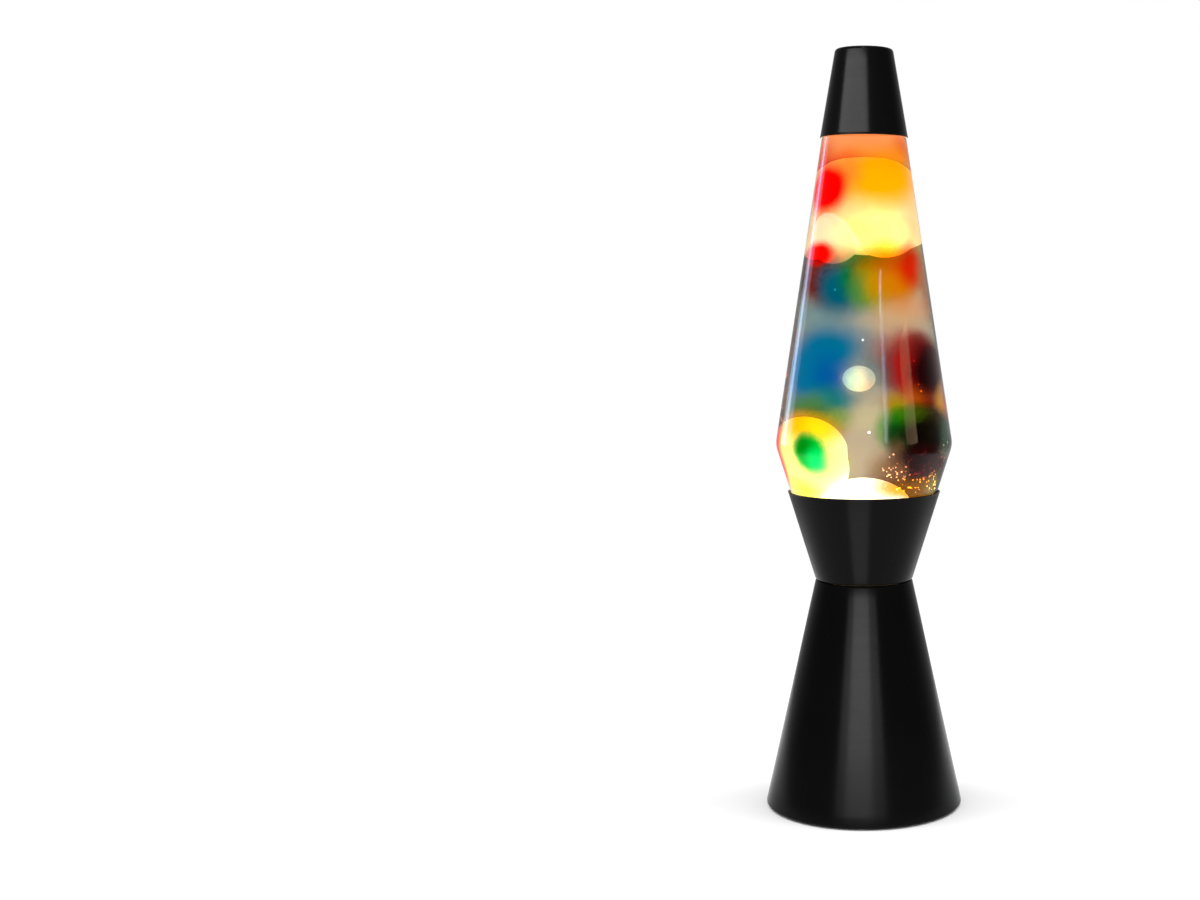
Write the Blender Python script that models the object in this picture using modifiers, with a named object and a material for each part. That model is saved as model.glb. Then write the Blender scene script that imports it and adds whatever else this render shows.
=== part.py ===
"""A 400 mm lava lamp, modelled piece by piece in metres with +Z up and its origin under the axis.

Two spun aluminium cones, joined at the neck, make the base. A strap inside holds the E14
lampholder and a 39 mm reflector bulb, which warms the bottle that stands in the upper cone.
The bottle is closed by a crown cap and holds five masses of wax, and a loose cap covers its
top. The front of the lamp faces -Y, and the cord grommet is low at the back.
"""

import math

import bmesh
import bpy
from mathutils import Matrix, Vector

MM = 0.001
GAP = 0.3 * MM  # clearance between pieces that touch
MERGE = 0.01 * MM

# Outline of the lamp, from the floor up
BASE_RADIUS = 52.35 * MM
BASE_RIM_Z = 0.8 * MM
NECK_RADIUS = 25.7 * MM
NECK_Z = 121.1 * MM
CUP_RIM_RADIUS = 40.1 * MM
CUP_RIM_Z = 167.9 * MM
GLASS_RADIUS = 46.9 * MM
GLASS_WAIST_Z = 193.0 * MM
CAP_RIM_RADIUS = 22.85 * MM
CAP_RIM_Z = 354.2 * MM
CAP_TOP_RADIUS = 15.1 * MM
LAMP_HEIGHT = 400.0 * MM
RIM_FLARE = 0.3 * MM

# Walls
BASE_SHEET = 0.8 * MM
CAP_SHEET = 0.6 * MM
GLASS_WALL = 2.2 * MM
BULB_WALL = 0.7 * MM
CROWN_SHEET = 0.3 * MM

# Inside of the base
FLANGE_HOLE_RADIUS = 20.6 * MM
HEM_FLANGE_RADIUS = 44.5 * MM
HEM_FLANGE_Z = 3.8 * MM
HEM_INNER_RADIUS = 49.6 * MM
STRAP_WIDTH = 11.0 * MM
STRAP_SHEET = 1.0 * MM
STRAP_ARM_X = 20.2 * MM
STRAP_END_X = 24.2 * MM
STRAP_FLOOR_Z = 54.0 * MM
FLANGE_SCREW_X = 22.5 * MM
FLANGE_SCREW_HOLE_RADIUS = 1.35 * MM

# Lampholder and bulb
THREAD_PITCH = 2.822 * MM
THREAD_DEPTH = 0.33 * MM
THREAD_SEGMENTS = 16
BULB_THREAD_RADIUS = 6.62 * MM
HOLDER_THREAD_RADIUS = 7.07 * MM
HOLDER_RADIUS = 12.5 * MM
HOLDER_TOP_Z = 88.0 * MM
HOLDER_FLOOR_Z = 60.0 * MM
HOLDER_BORE_RADIUS = 8.6 * MM
HOLDER_STEP_Z = 67.2 * MM
HOLDER_WELL_RADIUS = 6.6 * MM
TERMINAL_Y = 9.3 * MM
NIPPLE_RADIUS = 4.0 * MM
NIPPLE_END_Z = 47.5 * MM
NUT_RADIUS = 7.0 * MM
NUT_HEIGHT = 3.0 * MM
BULB_TIP_Z = 66.0 * MM
BULB_TOP_Z = 132.0 * MM
BULB_RADIUS = 19.5 * MM

# Bottle
BOTTLE_BOTTOM_Z = 142.0 * MM
BOTTLE_BOTTOM_RADIUS = 30.7 * MM
BOTTLE_MOUTH_Z = 388.0 * MM
LIP_RADIUS = 13.1 * MM
CROWN_FLUTES = 21

# Bottom cover, feet and grommet
COVER_RADIUS = HEM_INNER_RADIUS - GAP
COVER_UNDER_Z = 2.0 * MM
COVER_TOP_Z = HEM_FLANGE_Z - GAP
COVER_SCREW_RADIUS = 46.8 * MM
COVER_SCREW_ANGLES = (30, 150, 270)
COVER_SCREW_HOLE_RADIUS = 1.65 * MM
FOOT_CIRCLE_RADIUS = 40.0 * MM
FOOT_RADIUS = 5.5 * MM
FOOT_ANGLES = (45, 135, 225, 315)
VENT_COUNT = 8
VENT_RADIUS = 3.0 * MM
VENT_CIRCLE_RADIUS = 22.0 * MM
GROMMET_Z = 14.0 * MM
GROMMET_HOLE_RADIUS = 5.0 * MM
GROMMET_BORE_RADIUS = 3.7 * MM
GROMMET_RIM_RADIUS = 6.2 * MM
GROMMET_RIM_HEIGHT = 1.2 * MM

# Wax
FRONT_LOBE_CENTRE = Vector((-14.3, -6.0, 303.6)) * MM
FRONT_LOBE_RADII = Vector((11.0, 11.0, 13.9)) * MM
SMALL_BLOB_CENTRE = Vector((-2.6, -10.0, 227.3)) * MM
SMALL_BLOB_RADIUS = 6.95 * MM
SIDE_BLOB_CENTRE = Vector((-23.8, 2.0, 187.0)) * MM
SIDE_BLOB_RADII = Vector((17.0, 17.0, 21.3)) * MM
MOUND_Y = -6.0 * MM
MOUND_RADIUS = 18.0 * MM
MOUND_TOP_Z = 175.2 * MM
WAX_SIDE_GAP = GLASS_WALL + 0.7 * MM
LOBE_WELL_END_Z = 280.0 * MM

# Facets
LARGE = 32
MEDIUM = 16
SMALL = 10
ARC_STEP = math.radians(36)

FINISHES = {  # colour, roughness, metallic
    "black_paint": ((0.012, 0.012, 0.013), 0.42, 0.0),
    "glass": ((0.95, 0.93, 0.90), 0.03, 0.0),
    "wax": ((1.0, 0.86, 0.55), 0.45, 0.0),
    "hot_wax": ((1.0, 0.95, 0.80), 0.40, 0.0),
    "tinplate": ((0.72, 0.70, 0.66), 0.30, 1.0),
    "steel": ((0.56, 0.56, 0.58), 0.35, 1.0),
    "brass": ((0.78, 0.60, 0.30), 0.32, 1.0),
    "tungsten": ((0.30, 0.30, 0.32), 0.45, 1.0),
    "phenolic": ((0.020, 0.020, 0.022), 0.35, 0.0),
    "black_plastic": ((0.025, 0.025, 0.027), 0.55, 0.0),
    "rubber": ((0.018, 0.018, 0.018), 0.80, 0.0),
    "insulator": ((0.010, 0.010, 0.030), 0.12, 0.0),
}


# ---------------------------------------------------------------- tools


def clear_scene():
    for item in list(bpy.data.objects):
        bpy.data.objects.remove(item)
    for group in list(bpy.data.collections):
        bpy.data.collections.remove(group)


def new_collection(name):
    group = bpy.data.collections.new(name)
    bpy.context.scene.collection.children.link(group)
    return group


def finish(name):
    """The Principled material of this finish, made the first time that it's asked for."""
    if name in bpy.data.materials:
        return bpy.data.materials[name]
    colour, roughness, metallic = FINISHES[name]
    material = bpy.data.materials.new(name)
    material.use_nodes = True
    shader = material.node_tree.nodes["Principled BSDF"]
    shader.inputs["Base Color"].default_value = (*colour, 1.0)
    shader.inputs["Roughness"].default_value = roughness
    shader.inputs["Metallic"].default_value = metallic
    return material


def add_piece(name, data, finish_name, group="lava_lamp"):
    piece = bpy.data.objects.new(name, data)
    data.materials.append(finish(finish_name))
    bpy.data.collections[group].objects.link(piece)
    return piece


def as_cutter(piece):
    """Moves a piece to the cutters, where it only shapes the others."""
    bpy.data.collections["lava_lamp"].objects.unlink(piece)
    bpy.data.collections["cutters"].objects.link(piece)
    piece.display_type = "WIRE"
    piece.hide_render = True
    return piece


def cut(piece, cutter, operation="DIFFERENCE"):
    boolean = piece.modifiers.new(operation.title(), "BOOLEAN")
    boolean.operation = operation
    boolean.object = cutter


def rounded(points, closed=False):
    """The outline through points, each (x, z) or (x, z, fillet radius), with an arc at each fillet."""
    path = []
    last = len(points) - 1
    for i, point in enumerate(points):
        here = Vector(point[:2])
        if len(point) == 2 or (not closed and i in (0, last)):
            path.append(here)
            continue
        radius = point[2]
        before = (Vector(points[i - 1][:2]) - here).normalized()
        after = (Vector(points[(i + 1) % len(points)][:2]) - here).normalized()
        half = before.angle(after) / 2
        centre = here + (before + after).normalized() * (radius / math.sin(half))
        spoke = here + before * (radius / math.tan(half)) - centre
        sweep = math.copysign(math.pi - 2 * half, after.cross(before))
        steps = max(1, round(abs(sweep) / ARC_STEP))
        path += [centre + Matrix.Rotation(sweep * k / steps, 2) @ spoke for k in range(steps + 1)]
    return path


def arc(centre, radius, start, end, steps):
    """Points (x, z) along an arc between two angles in degrees, where 90 is straight up."""
    turns = [math.radians(start + (end - start) * k / steps) for k in range(steps + 1)]
    return [Vector((centre[0] + radius * math.cos(a), centre[1] + radius * math.sin(a))) for a in turns]


def line_mesh(name, points, closed):
    mesh = bpy.data.meshes.new(name)
    edges = [(i, i + 1) for i in range(len(points) - 1)]
    if closed:
        edges.append((len(points) - 1, 0))
    mesh.from_pydata([(x, 0.0, z) for x, z in points], edges, [])
    return mesh


def turned(name, outline, finish_name, segments=MEDIUM, closed=False, wall=0.0):
    """A turned piece. The outline runs down its outer side, and closed joins the outline's ends.
    A wall makes an open outline a shell, whose thickness lies inside the outline."""
    piece = add_piece(name, line_mesh(name, outline, closed), finish_name)
    screw = piece.modifiers.new("Turn", "SCREW")
    screw.steps = screw.render_steps = segments
    screw.use_merge_vertices = True
    screw.merge_threshold = MERGE
    if wall:
        solidify = piece.modifiers.new("Wall", "SOLIDIFY")
        solidify.thickness = wall
        solidify.offset = -1.0
        solidify.use_even_offset = True
    return piece


def bent_strip(name, path, width, sheet, finish_name):
    """A flat strip bent along path in the XZ plane. Its thickness lies to the left of the path."""
    mesh = line_mesh(name, path, closed=False)
    shape = bmesh.new()
    shape.from_mesh(mesh)
    side = bmesh.ops.extrude_edge_only(shape, edges=shape.edges[:])
    far = [v for v in side["geom"] if isinstance(v, bmesh.types.BMVert)]
    bmesh.ops.translate(shape, verts=far, vec=(0.0, width, 0.0))
    bmesh.ops.translate(shape, verts=shape.verts, vec=(0.0, -width / 2, 0.0))
    shape.to_mesh(mesh)
    shape.free()
    piece = add_piece(name, mesh, finish_name)
    solidify = piece.modifiers.new("Sheet", "SOLIDIFY")
    solidify.thickness = sheet
    solidify.offset = -1.0
    solidify.use_even_offset = True
    return piece


def rod(name, radius, bottom, top, finish_name, segments=SMALL, place=(0.0, 0.0)):
    """A plain upright cylinder, or a prism where it has few segments."""
    mesh = bpy.data.meshes.new(name)
    shape = bmesh.new()
    bmesh.ops.create_cone(
        shape, cap_ends=True, segments=segments, radius1=radius, radius2=radius, depth=top - bottom
    )
    shape.to_mesh(mesh)
    shape.free()
    piece = add_piece(name, mesh, finish_name)
    piece.location = (*place, (bottom + top) / 2)
    return piece


def ball(name, centre, radii, finish_name, segments=MEDIUM):
    """An ellipsoid whose origin is at its centre."""
    mesh = bpy.data.meshes.new(name)
    shape = bmesh.new()
    bmesh.ops.create_uvsphere(shape, u_segments=segments, v_segments=segments // 2, radius=1.0)
    bmesh.ops.scale(shape, vec=radii, verts=shape.verts)
    shape.to_mesh(mesh)
    shape.free()
    piece = add_piece(name, mesh, finish_name)
    piece.location = centre
    return piece


def wire(name, points, radius, finish_name, cyclic=False):
    """A round wire through points, with filled ends unless it closes on itself."""
    curve = bpy.data.curves.new(name, "CURVE")
    curve.dimensions = "3D"
    curve.bevel_depth = radius
    curve.bevel_resolution = 2
    curve.use_fill_caps = not cyclic
    spline = curve.splines.new("POLY")
    spline.points.add(len(points) - 1)
    for target, point in zip(spline.points, points):
        target.co = (*point, 1.0)
    spline.use_cyclic_u = cyclic
    return add_piece(name, curve, finish_name)


def bake(piece):
    """Makes a piece's modifiers part of its mesh, so that its points can be moved."""
    graph = bpy.context.evaluated_depsgraph_get()
    mesh = bpy.data.meshes.new_from_object(piece.evaluated_get(graph))
    piece.modifiers.clear()
    piece.data = mesh


def ripple(piece, wave):
    """Moves each point of a turned piece away from the axis by wave(radius, angle, z)."""
    bake(piece)
    for vertex in piece.data.vertices:
        radius = math.hypot(vertex.co.x, vertex.co.y)
        if radius > MERGE:
            angle = math.atan2(vertex.co.y, vertex.co.x)
            grown = (radius + wave(radius, angle, vertex.co.z)) / radius
            vertex.co = (vertex.co.x * grown, vertex.co.y * grown, vertex.co.z)


def thread_wave(angle, z):
    """The height of a right-hand rounded thread at this place, from -THREAD_DEPTH to THREAD_DEPTH."""
    return THREAD_DEPTH * math.cos(2 * math.pi * z / THREAD_PITCH - angle)


def thread_rows(radius, bottom, top):
    """Outline points down a threaded stretch, four to a turn."""
    count = round((top - bottom) / THREAD_PITCH * 4)
    return [Vector((radius, top + (bottom - top) * k / count)) for k in range(count + 1)]


def press_thread(piece, radius, bottom, top):
    """Presses the thread into the points of a turned piece at this radius between two heights."""

    def wave(here, angle, z):
        threaded = abs(here - radius) < MERGE and bottom - MERGE < z < top + MERGE
        return thread_wave(angle, z) if threaded else 0.0

    ripple(piece, wave)


def around(radius, degrees):
    angle = math.radians(degrees)
    return radius * math.cos(angle), radius * math.sin(angle)


def screw(name, place, seat, end, head_radius, shank_radius, head_height):
    """A slotted pan-head screw, head up where seat is above end and head down otherwise."""
    facing = math.copysign(1.0, seat - end)
    length = abs(seat - end)
    piece = turned(
        name,
        rounded(
            [
                (0.0, head_height),
                (head_radius * 0.55, head_height),
                (head_radius, head_height * 0.45),
                (head_radius, 0.0),
                (shank_radius, 0.0),
                (shank_radius, 0.4 * MM - length),
                (shank_radius - 0.4 * MM, -length),
                (0.0, -length),
            ]
        ),
        "steel",
        SMALL,
    )
    slot = rod(f"{name}_slot", 1.0, -0.5, 0.5, "steel", 4)
    slot.data.transform(Matrix.Rotation(math.radians(45), 4, "Z"))
    slot.data.transform(Matrix.Diagonal((head_radius * 2, 0.35 * MM, head_height, 1.0)))
    slot.data.transform(Matrix.Translation((0.0, 0.0, head_height)))
    slot.location = (0.0, 0.0, 0.0)
    as_cutter(slot)
    slot.parent = piece
    cut(piece, slot)
    piece.location = (*place, seat)
    if facing < 0:
        piece.rotation_euler = (math.pi, 0.0, 0.0)
    return piece


def drill(piece, name, radius, bottom, top, place=(0.0, 0.0), segments=SMALL):
    cut(piece, as_cutter(rod(f"{name}_hole", radius, bottom, top, "steel", segments, place)))


# ---------------------------------------------------------------- base


def cone_slope():
    """How far the lower cone's wall moves out for each metre down."""
    return (BASE_RADIUS - NECK_RADIUS) / (NECK_Z - BASE_RIM_Z)


def build_base_cone():
    top_z = NECK_Z - GAP / 2
    cone = turned(
        "base_cone",
        rounded(
            [
                (FLANGE_HOLE_RADIUS, top_z),
                (NECK_RADIUS, top_z, 1.2 * MM),
                (BASE_RADIUS, BASE_RIM_Z, 1.0 * MM),
                (HEM_INNER_RADIUS, BASE_RIM_Z, 0.5 * MM),
                (HEM_INNER_RADIUS, HEM_FLANGE_Z),
                (HEM_FLANGE_RADIUS, HEM_FLANGE_Z),
            ]
        ),
        "black_paint",
        LARGE,
        wall=BASE_SHEET,
    )
    for side in (-1, 1):
        place = (side * FLANGE_SCREW_X, 0.0)
        drill(cone, f"cone_flange_{side}", FLANGE_SCREW_HOLE_RADIUS, top_z - 3 * MM, top_z + 1 * MM, place)
    below, above = HEM_FLANGE_Z - 0.5 * MM, HEM_FLANGE_Z + 2 * MM
    for degrees in COVER_SCREW_ANGLES:
        place = around(COVER_SCREW_RADIUS, degrees)
        drill(cone, f"hem_{degrees}", COVER_SCREW_HOLE_RADIUS, below, above, place)
    grommet_hole = rod("grommet_hole", GROMMET_HOLE_RADIUS + GAP, -4 * MM, 4 * MM, "steel", MEDIUM)
    grommet_hole.matrix_world = grommet_place()
    cut(cone, as_cutter(grommet_hole))


def build_base_cup():
    bottom_z = NECK_Z + GAP / 2
    cup = turned(
        "base_cup",
        rounded(
            [
                (CUP_RIM_RADIUS + RIM_FLARE, CUP_RIM_Z),
                (CUP_RIM_RADIUS, CUP_RIM_Z - 0.8 * MM),
                (NECK_RADIUS, bottom_z, 1.4 * MM),
                (FLANGE_HOLE_RADIUS, bottom_z),
            ]
        ),
        "black_paint",
        LARGE,
        wall=BASE_SHEET,
    )
    for side in (-1, 1):
        place = (side * FLANGE_SCREW_X, 0.0)
        drill(cup, f"cup_flange_{side}", FLANGE_SCREW_HOLE_RADIUS, bottom_z - 1 * MM, bottom_z + 3 * MM, place)


def build_strap():
    """The bent strap that hangs the lampholder under the neck."""
    ear_z = NECK_Z - GAP / 2 - BASE_SHEET - GAP
    right = [
        (STRAP_END_X, ear_z),
        (STRAP_ARM_X, ear_z, 1.2 * MM),
        (STRAP_ARM_X, STRAP_FLOOR_Z, 2.0 * MM),
    ]
    left = [(-x, z, *fillet) for x, z, *fillet in reversed(right)]
    strap = bent_strip("socket_strap", rounded(right + left), STRAP_WIDTH, STRAP_SHEET, "steel")
    drill(strap, "strap_nipple", NIPPLE_RADIUS + GAP, STRAP_FLOOR_Z - 3 * MM, STRAP_FLOOR_Z + 2 * MM,
          segments=MEDIUM)
    for side in (-1, 1):
        place = (side * FLANGE_SCREW_X, 0.0)
        drill(strap, f"strap_ear_{side}", 1.3 * MM, ear_z - 2.5 * MM, ear_z + 1 * MM, place)


def build_flange_screws():
    seat = NECK_Z + GAP / 2 + BASE_SHEET + GAP
    for number, side in enumerate((-1, 1), 1):
        place = (side * FLANGE_SCREW_X, 0.0)
        screw(f"flange_screw_{number}", place, seat, seat - 5.4 * MM, 1.9 * MM, 1.0 * MM, 1.3 * MM)


def build_bottom_cover():
    cover = rod("bottom_cover", COVER_RADIUS, COVER_UNDER_Z, COVER_TOP_Z, "black_plastic", LARGE)
    below, above = COVER_UNDER_Z - 1 * MM, COVER_TOP_Z + 1 * MM
    for k in range(VENT_COUNT):
        place = around(VENT_CIRCLE_RADIUS, 360 * k / VENT_COUNT)
        drill(cover, f"vent_{k}", VENT_RADIUS, below, above, place)
    for number, degrees in enumerate(COVER_SCREW_ANGLES, 1):
        place = around(COVER_SCREW_RADIUS, degrees)
        drill(cover, f"cover_{degrees}", COVER_SCREW_HOLE_RADIUS, below, above, place)
        seat = COVER_UNDER_Z - GAP
        screw(f"bottom_cover_screw_{number}", place, seat, 7.0 * MM, 2.2 * MM, 1.3 * MM, 1.1 * MM)


def build_feet():
    for number, degrees in enumerate(FOOT_ANGLES, 1):
        top_z = COVER_UNDER_Z - GAP
        foot = turned(
            f"rubber_foot_{number}",
            rounded(
                [
                    (0.0, top_z),
                    (FOOT_RADIUS - 0.5 * MM, top_z),
                    (FOOT_RADIUS, 0.4 * MM),
                    (FOOT_RADIUS - 0.4 * MM, 0.0),
                    (0.0, 0.0),
                ]
            ),
            "rubber",
            SMALL + 4,
        )
        foot.location = (*around(FOOT_CIRCLE_RADIUS, degrees), 0.0)


def grommet_place():
    """The frame at the cord hole: its Z axis runs out through the back wall of the lower cone."""
    tilt = math.atan(cone_slope())
    wall_radius = BASE_RADIUS - cone_slope() * (GROMMET_Z - BASE_RIM_Z)
    return Matrix.Translation((0.0, wall_radius, GROMMET_Z)) @ Matrix.Rotation(tilt - math.pi / 2, 4, "X")


def build_grommet():
    """A rubber grommet, whose two flanges hold the cone's wall between them."""
    hole, waist, rim = GROMMET_BORE_RADIUS, GROMMET_HOLE_RADIUS, GROMMET_RIM_RADIUS
    outer_seat, inner_seat = GAP, -(BASE_SHEET + 0.65 * MM)
    outer_face, inner_face = outer_seat + GROMMET_RIM_HEIGHT, inner_seat - GROMMET_RIM_HEIGHT
    grommet = turned(
        "cord_grommet",
        rounded(
            [
                (hole, outer_face),
                (rim - 0.5 * MM, outer_face),
                (rim, outer_face - 0.5 * MM),
                (rim, outer_seat),
                (waist, outer_seat),
                (waist, inner_seat),
                (rim, inner_seat),
                (rim, inner_face),
                (hole, inner_face),
            ]
        ),
        "rubber",
        MEDIUM,
        closed=True,
    )
    grommet.matrix_world = grommet_place()


# ---------------------------------------------------------------- lampholder


def build_lampholder():
    floor_top = HOLDER_FLOOR_Z
    under = STRAP_FLOOR_Z + GAP
    bore, step_z, well = HOLDER_BORE_RADIUS, HOLDER_STEP_Z, HOLDER_WELL_RADIUS
    body = turned(
        "lampholder_body",
        rounded(
            [
                (bore, HOLDER_TOP_Z),
                (HOLDER_RADIUS, HOLDER_TOP_Z, 1.0 * MM),
                (HOLDER_RADIUS, under, 1.0 * MM),
                (NIPPLE_RADIUS + GAP, under),
                (NIPPLE_RADIUS + GAP, floor_top),
                (well, floor_top),
                (well, step_z),
                (bore, step_z),
            ],
            closed=True,
        ),
        "phenolic",
        MEDIUM,
        closed=True,
    )
    for number, side in enumerate((-1, 1), 1):
        place = (0.0, side * TERMINAL_Y)
        drill(body, f"terminal_{number}", 1.5 * MM + GAP, under - 1 * MM, floor_top, place)
        seat, end = under - GAP, floor_top - 0.8 * MM
        screw(f"terminal_screw_{number}", place, seat, end, 2.6 * MM, 1.5 * MM, 1.4 * MM)

    thread_top, thread_bottom = 82.6 * MM, 71.3 * MM
    inner = [
        Vector((7.6 * MM, 69.6 * MM)),
        *reversed(thread_rows(HOLDER_THREAD_RADIUS, thread_bottom, thread_top)),
        Vector((7.6 * MM, 84.2 * MM)),
    ]
    shell = turned(
        "lampholder_shell",
        [
            Vector((8.2 * MM, 86.6 * MM)),
            Vector((8.2 * MM, step_z + GAP)),
            Vector((5.6 * MM, step_z + GAP)),
            Vector((5.6 * MM, step_z + GAP + 0.5 * MM)),
            Vector((7.6 * MM, step_z + GAP + 0.5 * MM)),
            *inner,
            Vector((7.8 * MM, 86.6 * MM)),
        ],
        "brass",
        THREAD_SEGMENTS,
        closed=True,
    )
    press_thread(shell, HOLDER_THREAD_RADIUS, thread_bottom, thread_top)

    bent_strip(
        "lampholder_contact",
        rounded(
            [
                (2.2 * MM, 65.0 * MM),
                (0.6 * MM, BULB_TIP_Z - GAP, 0.8 * MM),
                (-4.6 * MM, 63.0 * MM, 0.8 * MM),
                (-3.2 * MM, floor_top + GAP + 0.5 * MM, 0.6 * MM),
                (5.6 * MM, floor_top + GAP + 0.5 * MM),
            ]
        ),
        4.0 * MM,
        0.4 * MM,
        "brass",
    )
    turned(
        "threaded_nipple",
        [
            Vector((NIPPLE_RADIUS, floor_top - 0.5 * MM)),
            Vector((NIPPLE_RADIUS, NIPPLE_END_Z)),
            Vector((NIPPLE_RADIUS - 1 * MM, NIPPLE_END_Z)),
            Vector((NIPPLE_RADIUS - 1 * MM, floor_top - 0.5 * MM)),
        ],
        "steel",
        MEDIUM,
        closed=True,
    )
    nut_top = STRAP_FLOOR_Z - STRAP_SHEET - GAP
    nut_bottom = nut_top - NUT_HEIGHT
    nut = rod("nipple_nut", NUT_RADIUS, nut_bottom, nut_top, "steel", 6)
    drill(nut, "nut", NIPPLE_RADIUS + GAP, nut_bottom - 1 * MM, nut_top + 1 * MM, segments=MEDIUM)


# ---------------------------------------------------------------- bulb


def build_bulb():
    tip = BULB_TIP_Z
    turned(
        "bulb_tip",
        rounded(
            [
                (0.0, tip + 4.0 * MM),
                (1.3 * MM, tip + 4.0 * MM),
                (1.3 * MM, tip + 1.6 * MM),
                (2.5 * MM, tip + 1.4 * MM),
                (1.7 * MM, tip + 0.3 * MM),
                (0.0, tip),
            ]
        ),
        "tinplate",
        SMALL,
    )
    turned(
        "bulb_insulator",
        rounded(
            [
                (4.3 * MM, tip + 3.9 * MM),
                (2.9 * MM, tip + 1.75 * MM),
                (1.6 * MM, tip + 1.75 * MM),
                (1.6 * MM, tip + 3.9 * MM),
            ],
            closed=True,
        ),
        "insulator",
        MEDIUM,
        closed=True,
    )
    thread_top, thread_bottom = tip + 17.0 * MM, tip + 6.0 * MM
    cap = turned(
        "bulb_cap",
        [
            Vector((7.5 * MM, tip + 24.0 * MM)),
            Vector((7.5 * MM, tip + 21.0 * MM)),
            Vector((6.3 * MM, tip + 18.8 * MM)),
            *thread_rows(BULB_THREAD_RADIUS, thread_bottom, thread_top),
            Vector((6.1 * MM, tip + 4.6 * MM)),
            Vector((4.6 * MM, tip + 3.6 * MM)),
            Vector((4.6 * MM, tip + 4.2 * MM)),
            Vector((5.5 * MM, tip + 5.6 * MM)),
            Vector((5.5 * MM, tip + 18.8 * MM)),
            Vector((7.0 * MM, tip + 21.4 * MM)),
            Vector((7.0 * MM, tip + 24.0 * MM)),
        ],
        "tinplate",
        THREAD_SEGMENTS,
        closed=True,
    )
    press_thread(cap, BULB_THREAD_RADIUS, thread_bottom, thread_top)

    face = BULB_TOP_Z
    turned(
        "bulb_glass",
        rounded(
            [
                (0.0, face),
                (9.0 * MM, face - 1.0 * MM),
                (BULB_RADIUS - 2.2 * MM, face - 4.6 * MM),
                (BULB_RADIUS, face - 9.0 * MM, 2.5 * MM),
                (16.6 * MM, face - 22.0 * MM, 20.0 * MM),
                (6.7 * MM, face - 38.5 * MM, 8.0 * MM),
                (6.7 * MM, tip + 21.6 * MM),
            ]
        ),
        "glass",
        MEDIUM,
        wall=BULB_WALL,
    )
    turned(
        "bulb_stem",
        rounded(
            [
                (0.0, tip + 36.0 * MM),
                (1.5 * MM, tip + 36.0 * MM),
                (1.9 * MM, tip + 28.0 * MM),
                (5.3 * MM, tip + 22.5 * MM),
                (0.0, tip + 22.0 * MM),
            ]
        ),
        "glass",
        SMALL,
    )
    lead_top = tip + 44.0 * MM
    for number, side in enumerate((-1, 1), 1):
        foot = (side * 1.0 * MM, 0.0, tip + 36.0 * MM + GAP)
        bend = (side * 2.2 * MM, 0.0, tip + 38.5 * MM)
        hook = (side * 7.0 * MM, 0.0, lead_top)
        wire(f"bulb_lead_{number}", [foot, bend, hook], 0.3 * MM, "steel")
    span, rise = 7.0 * MM - 0.3 * MM - GAP, 1.6 * MM
    bow = [
        (span * s, 0.0, lead_top + 0.8 * MM + rise * (1.0 - s * s))
        for s in [k / 4 - 1.0 for k in range(9)]
    ]
    wire("bulb_filament", bow, 0.25 * MM, "tungsten")


# ---------------------------------------------------------------- bottle


def bottle_radius(z):
    """The bottle's outer radius at this height on its long upper cone."""
    share = (z - GLASS_WAIST_Z) / (354.5 * MM - GLASS_WAIST_Z)
    return GLASS_RADIUS + (22.0 * MM - GLASS_RADIUS) * share


def build_bottle():
    mouth = BOTTLE_MOUTH_Z
    turned(
        "bottle_glass",
        rounded(
            [
                (LIP_RADIUS - 0.8 * MM, mouth),
                (LIP_RADIUS, mouth - 0.8 * MM),
                (LIP_RADIUS, mouth - 3.4 * MM),
                (12.2 * MM, mouth - 4.4 * MM),
                (12.2 * MM, mouth - 10.0 * MM, 3.0 * MM),
                (18.6 * MM, 368.5 * MM, 4.0 * MM),
                (22.0 * MM, 354.5 * MM, 8.0 * MM),
                (GLASS_RADIUS, GLASS_WAIST_Z, 9.0 * MM),
                (BOTTLE_BOTTOM_RADIUS, BOTTLE_BOTTOM_Z, 4.0 * MM),
                (24.0 * MM, BOTTLE_BOTTOM_Z),
                (0.0, BOTTLE_BOTTOM_Z + 0.8 * MM),
            ]
        ),
        "glass",
        LARGE,
        wall=GLASS_WALL,
    )
    skirt_top, skirt_bottom = mouth - 0.6 * MM, mouth - 4.2 * MM
    crown = turned(
        "crown_cap",
        rounded(
            [
                (0.0, mouth + 1.8 * MM),
                (13.4 * MM, mouth + 1.8 * MM, 1.0 * MM),
                (13.9 * MM, skirt_top),
                (14.15 * MM, (skirt_top + skirt_bottom) / 2),
                (14.6 * MM, skirt_bottom),
            ]
        ),
        "tinplate",
        CROWN_FLUTES * 2,
        wall=CROWN_SHEET,
    )

    def flute(radius, angle, z):
        share = min(max((skirt_top - z) / (skirt_top - skirt_bottom), 0.0), 1.0)
        return 0.4 * MM * share * math.cos(CROWN_FLUTES * angle)

    ripple(crown, flute)
    rod("crown_liner", 12.8 * MM, mouth + GAP, mouth + 1.2 * MM, "rubber", MEDIUM)

    coils, ring, coil, gauge = 12, 27.0 * MM, 1.7 * MM, 0.35 * MM
    centre_z = BOTTLE_BOTTOM_Z + GLASS_WALL + GAP + coil + gauge + 0.3 * MM
    points = []
    for k in range(coils * 5):
        turn = 2 * math.pi * k / (coils * 5)
        reach = ring + coil * math.cos(coils * turn)
        height = centre_z + coil * math.sin(coils * turn)
        points.append((reach * math.cos(turn), reach * math.sin(turn), height))
    wire("heat_coil", points, gauge, "steel", cyclic=True)


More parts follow.
